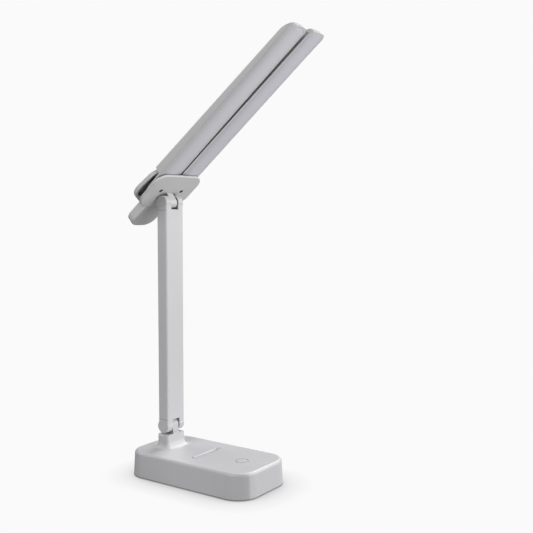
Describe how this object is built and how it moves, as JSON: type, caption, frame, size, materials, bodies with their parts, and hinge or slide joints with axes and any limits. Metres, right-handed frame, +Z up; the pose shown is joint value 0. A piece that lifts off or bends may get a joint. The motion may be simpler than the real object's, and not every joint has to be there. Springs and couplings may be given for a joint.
{
  "type": "desk lamp",
  "caption": "Folding desk lamp: base with phone slot and touch key, hinged arm, tilting bracket and light bars that fan out sideways.",
  "frame": {"origin": "middle of the base's outline on the table, at the bottom face of the rubber pad", "axes": "+X along the base from the arm at the back to the touch key at the front, +Y across the base, +Z up along the arm"},
  "size_m": [0.2047, 0.08, 0.4225],
  "materials": {
    "grey_plastic": "satin, light grey",
    "cover_plastic": "fine texture, light grey",
    "pad_rubber": "matt, dark grey",
    "milky_plastic": "satin, milky white",
    "clear_lens": "clear, dark when unlit",
    "zinc_steel": "zinc plated",
    "weight_steel": "raw, rolled",
    "spring_steel": "bright",
    "slide_plastic": "waxy, dark grey",
    "board": "green lacquer",
    "white_board": "white lacquer",
    "chip": "yellow phosphor",
    "component": "moulded black",
    "copper": "bright foil",
    "cell_wrap": "shrink wrap, blue",
    "lead_rubber": "soft, light grey"
  },
  "bodies": {
    "base": {"base_housing": "grey_plastic", "base_bottom_cover": "cover_plastic", "anti_slip_pad": "pad_rubber", "base_screws": "zinc_steel", "steel_weight": "weight_steel", "battery_holder": "slide_plastic", "battery_cell": "cell_wrap", "control_board": "board", "board_components": "component", "touch_pad": "copper", "status_lens": "clear_lens", "charge_board": "board", "charge_socket": "zinc_steel"},
    "arm": {"arm_tube": "grey_plastic", "arm_lower_fork": "grey_plastic", "arm_upper_fork": "grey_plastic", "arm_lead": "lead_rubber", "lower_hinge_pin": "zinc_steel", "lower_hinge_nut": "zinc_steel", "lower_hinge_washers": "slide_plastic", "lower_hinge_caps": "grey_plastic", "upper_hinge_pin": "zinc_steel", "upper_hinge_nut": "zinc_steel", "upper_hinge_washers": "slide_plastic", "upper_hinge_caps": "grey_plastic"},
    "head_bracket": {"bracket_lower_plate": "grey_plastic", "bracket_upper_plate": "grey_plastic", "bar_pivot_screws": "zinc_steel", "bar_washers": "spring_steel"},
    "left_bar": {"left_bar_housing": "grey_plastic", "left_bar_diffuser": "milky_plastic", "left_bar_strip": "white_board", "left_bar_chips": "chip"},
    "right_bar": {"right_bar_housing": "grey_plastic", "right_bar_diffuser": "milky_plastic", "right_bar_strip": "white_board", "right_bar_chips": "chip"}
  },
  "joints": [
    {"name": "arm_fold", "type": "hinge", "parent": "base", "child": "arm", "pos_m": [-0.0466, 0, 0.0479], "axis": [0, 1, 0], "range_deg": [0, 90]},
    {"name": "head_tilt", "type": "hinge", "parent": "arm", "child": "head_bracket", "pos_m": [-0.0466, 0, 0.2714], "axis": [0, 1, 0], "range_deg": [-50.2, 129.8]},
    {"name": "left_bar_swing", "type": "hinge", "parent": "head_bracket", "child": "left_bar", "pos_m": [-0.03984, -0.0149, 0.27703], "axis": [0.6401, 0, -0.7683], "range_deg": [0, 90]},
    {"name": "right_bar_swing", "type": "hinge", "parent": "head_bracket", "child": "right_bar", "pos_m": [-0.03984, 0.0149, 0.27703], "axis": [-0.6401, 0, 0.7683], "range_deg": [0, 90]}
  ]
}
